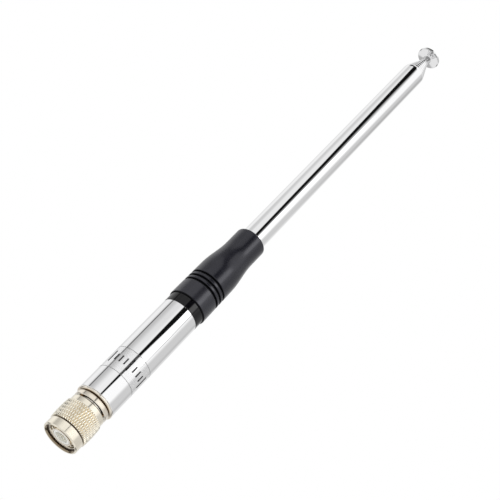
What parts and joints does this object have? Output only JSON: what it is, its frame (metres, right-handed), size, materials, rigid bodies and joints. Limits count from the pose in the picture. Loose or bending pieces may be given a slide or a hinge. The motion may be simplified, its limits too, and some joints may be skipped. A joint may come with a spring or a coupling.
{
  "type": "telescopic antenna",
  "caption": "Handheld radio whip: threaded coaxial plug with a knurled nut, coil in a chrome barrel, black boot, and nested chrome rod sections that slide out.",
  "frame": {"origin": "centre of the coupling nut's front rim, on the rod's axis", "axes": "+Z along the rod towards the end button; X and Y are alike, because every outer piece is turned"},
  "size_m": [0.0156, 0.0156, 0.2399],
  "materials": {
    "nickel": "nickel plated, polished, knurled",
    "nickel_body": "nickel plated, polished",
    "barrel_chrome": "bright chrome plated",
    "rod_chrome": "bright chrome plated",
    "button_chrome": "bright chrome plated",
    "gilt_brass": "gilt",
    "stud_brass": "turned",
    "spring_bronze": "rolled strip",
    "copper_wire": "enamelled wire",
    "white_insulator": "waxy white",
    "former_plastic": "natural",
    "black_gloss": "glossy black",
    "black_satin": "satin black",
    "gasket_rubber": "matte"
  },
  "bodies": {
    "base": {"connector_body": "nickel_body", "nut_snap_ring": "spring_bronze", "connector_gasket": "gasket_rubber", "contact_insulator": "white_insulator", "center_pin": "gilt_brass", "barrel": "barrel_chrome", "coil_former": "former_plastic", "loading_coil": "copper_wire", "rod_stud": "stud_brass", "insulator_bush": "black_gloss", "boot": "black_satin", "section_1": "rod_chrome"},
    "nut": {"coupling_nut": "nickel"},
    "rod_2": {"section_2": "rod_chrome", "contact_spring_2": "spring_bronze"},
    "rod_3": {"section_3": "rod_chrome", "contact_spring_3": "spring_bronze"},
    "rod_4": {"section_4": "rod_chrome", "contact_spring_4": "spring_bronze"},
    "rod_5": {"section_5": "rod_chrome", "contact_spring_5": "spring_bronze"},
    "rod_6": {"section_6": "rod_chrome", "contact_spring_6": "spring_bronze"},
    "rod_7": {"section_7": "rod_chrome", "contact_spring_7": "spring_bronze"},
    "rod_8": {"section_8": "rod_chrome", "contact_spring_8": "spring_bronze", "tip_button": "button_chrome"}
  },
  "joints": [
    {"name": "nut_spin", "type": "hinge", "parent": "base", "child": "nut", "pos_m": [0, 0, 0], "axis": [0, 0, 1], "continuous": true},
    {"name": "slide_2", "type": "slide", "parent": "base", "child": "rod_2", "axis": [0, 0, 1], "range_m": [0, 0.1472]},
    {"name": "slide_3", "type": "slide", "parent": "rod_2", "child": "rod_3", "axis": [0, 0, 1], "range_m": [0, 0.14865]},
    {"name": "slide_4", "type": "slide", "parent": "rod_3", "child": "rod_4", "axis": [0, 0, 1], "range_m": [0, 0.1501]},
    {"name": "slide_5", "type": "slide", "parent": "rod_4", "child": "rod_5", "axis": [0, 0, 1], "range_m": [0, 0.15155]},
    {"name": "slide_6", "type": "slide", "parent": "rod_5", "child": "rod_6", "axis": [0, 0, 1], "range_m": [0, 0.153]},
    {"name": "slide_7", "type": "slide", "parent": "rod_6", "child": "rod_7", "axis": [0, 0, 1], "range_m": [0, 0.15445]},
    {"name": "slide_8", "type": "slide", "parent": "rod_7", "child": "rod_8", "axis": [0, 0, 1], "range_m": [0, 0.1559]}
  ]
}
